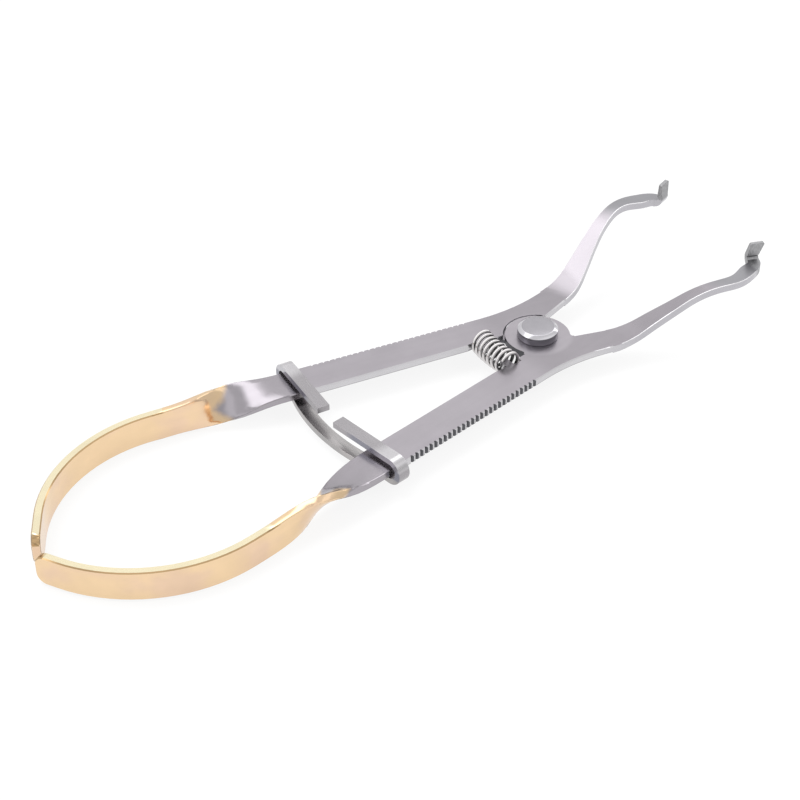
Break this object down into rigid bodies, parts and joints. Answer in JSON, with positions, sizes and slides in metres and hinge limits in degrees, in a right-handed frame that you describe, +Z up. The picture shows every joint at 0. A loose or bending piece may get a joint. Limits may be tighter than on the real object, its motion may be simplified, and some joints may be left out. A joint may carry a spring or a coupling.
{
  "type": "sectional matrix forceps",
  "caption": "Reverse-action dental forceps: squeezing the sprung bow handles spreads two upturned grooved tips, and a sliding band locks the handles.",
  "frame": {"origin": "centre of the lower rivet head's face, on the pivot axis", "axes": "+X to the jaws along the middle line, +Y to the lever whose boss is beneath, +Z up along the pivot"},
  "size_m": [0.1776, 0.0487, 0.0206],
  "materials": {
    "lever_steel": "satin steel, with bows in polished pale rose-gold plating",
    "rivet_steel": "satin with a polished bevel",
    "spring_wire": "bright drawn wire",
    "lock_steel": "lengthwise brushed"
  },
  "bodies": {
    "lower_lever": {"lower_lever": "lever_steel", "spring": "spring_wire"},
    "upper_lever": {"upper_lever": "lever_steel"},
    "rivet": {"rivet": "rivet_steel"},
    "lock_slide": {"lock_slide": "lock_steel"}
  },
  "joints": [
    {"name": "jaw_pivot", "type": "hinge", "parent": "lower_lever", "child": "upper_lever", "pos_m": [0, 0, 0.00278], "axis": [0, 0, -1], "range_deg": [0, 18], "deforming": ["spring"]},
    {"name": "rivet_turn", "type": "hinge", "parent": "lower_lever", "child": "rivet", "pos_m": [0, 0, 0.00278], "axis": [0, 0, -1], "range_deg": [0, 9]},
    {"name": "slide_travel", "type": "slide", "parent": "rivet", "child": "lock_slide", "axis": [1, 0, 0], "range_m": [0, 0.036]}
  ],
  "couplings": [
    {"joint": "rivet_turn", "follows": "jaw_pivot", "ratio": 0.5},
    {"joint": "slide_travel", "follows": "jaw_pivot", "m_per_rad": 0.11459}
  ]
}
